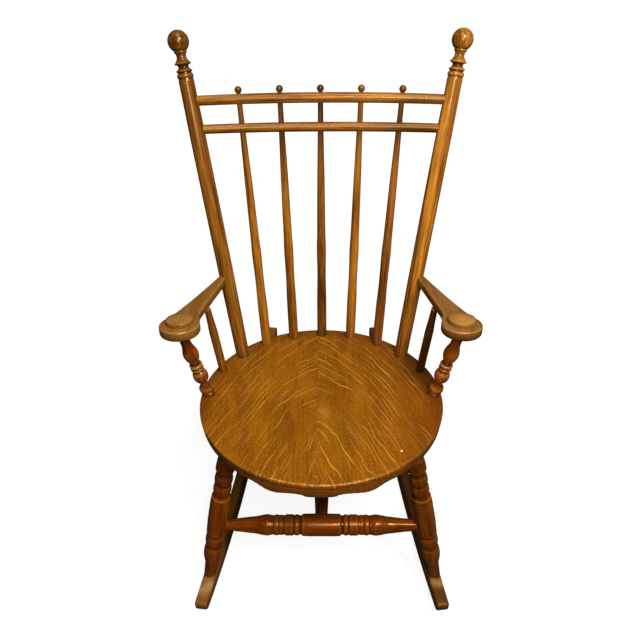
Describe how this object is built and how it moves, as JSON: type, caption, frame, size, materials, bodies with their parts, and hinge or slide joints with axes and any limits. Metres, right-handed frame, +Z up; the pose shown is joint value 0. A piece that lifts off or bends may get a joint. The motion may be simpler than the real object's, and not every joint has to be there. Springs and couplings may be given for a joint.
{
  "type": "spindle-back arm rocking chair",
  "caption": "Arm rocking chair in varnished oak: round seat, fanned ball-ended spindles through two bent rails, ball finials, turned legs and stretchers, sawn rockers.",
  "frame": {"origin": "on the floor, under the middle of the chair's width and length", "axes": "+X to the right as seen from in front, +Y to the back, +Z up; the chair faces -Y"},
  "size_m": [0.579, 0.8314, 1.0253],
  "materials": {
    "seat_oak": "glossy old varnish over quarter-sawn oak with ray flecks",
    "post_oak": "glossy orange-brown varnish on turned oak",
    "arm_oak": "satin, rubbed pale by hands",
    "leg_oak": "glossy red-brown varnish on turned oak",
    "rocker_oak": "worn varnish, bare and pale where feet rub"
  },
  "bodies": {
    "root": {"seat_panel": "seat_oak", "frame_front": "leg_oak", "frame_right": "leg_oak", "frame_rear": "leg_oak", "frame_left": "leg_oak", "back_post_left": "post_oak", "back_post_right": "post_oak", "upper_rail": "post_oak", "lower_rail": "post_oak", "back_spindle_1": "post_oak", "back_spindle_2": "post_oak", "back_spindle_3": "post_oak", "back_spindle_4": "post_oak", "back_spindle_5": "post_oak", "arm_left": "arm_oak", "arm_post_left": "post_oak", "arm_spindle_left": "post_oak", "arm_cap_left": "arm_oak", "arm_right": "arm_oak", "arm_post_right": "post_oak", "arm_spindle_right": "post_oak", "arm_cap_right": "arm_oak", "rocker_left": "rocker_oak", "front_leg_left": "leg_oak", "rear_leg_left": "leg_oak", "rocker_right": "rocker_oak", "front_leg_right": "leg_oak", "rear_leg_right": "leg_oak", "front_stretcher": "leg_oak", "rear_stretcher": "leg_oak", "middle_stretcher": "leg_oak"}
  },
  "joints": []
}
